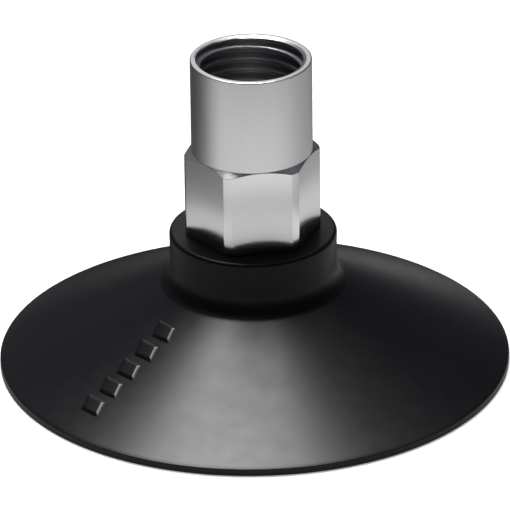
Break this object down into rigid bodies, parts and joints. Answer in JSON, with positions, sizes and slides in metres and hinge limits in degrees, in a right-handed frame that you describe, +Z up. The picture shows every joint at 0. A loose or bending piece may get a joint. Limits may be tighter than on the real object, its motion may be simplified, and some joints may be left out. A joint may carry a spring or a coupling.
{
  "type": "vacuum suction cup",
  "caption": "Round flat rubber suction cup clamped to an aluminium hexagon socket with a female pipe thread port.",
  "frame": {"origin": "centre of the sealing lip's lower face, where the cup's axis meets the surface it rests on", "axes": "+Z up along the cup's axis, from the lip to the port"},
  "size_m": [0.059, 0.059, 0.0379],
  "materials": {
    "socket_aluminium": "fine turned, satin",
    "screen_steel": "woven wire",
    "plate_aluminium": "turned, satin",
    "screw_steel": "machined",
    "cup_rubber": "moulded nitrile, semi-gloss"
  },
  "bodies": {
    "root": {"connection_socket": "socket_aluminium", "filter_screen": "screen_steel", "support_plate": "plate_aluminium", "hollow_screw": "screw_steel", "cup_neck": "cup_rubber", "cup_skirt": "cup_rubber"},
    "lip": {"sealing_lip": "cup_rubber"}
  },
  "joints": [
    {"name": "lip_stroke", "type": "slide", "parent": "root", "child": "lip", "axis": [0, 0, 1], "range_m": [0, 0.003], "stiffness_N_per_m": 4000, "deforming": ["cup_skirt"]}
  ]
}
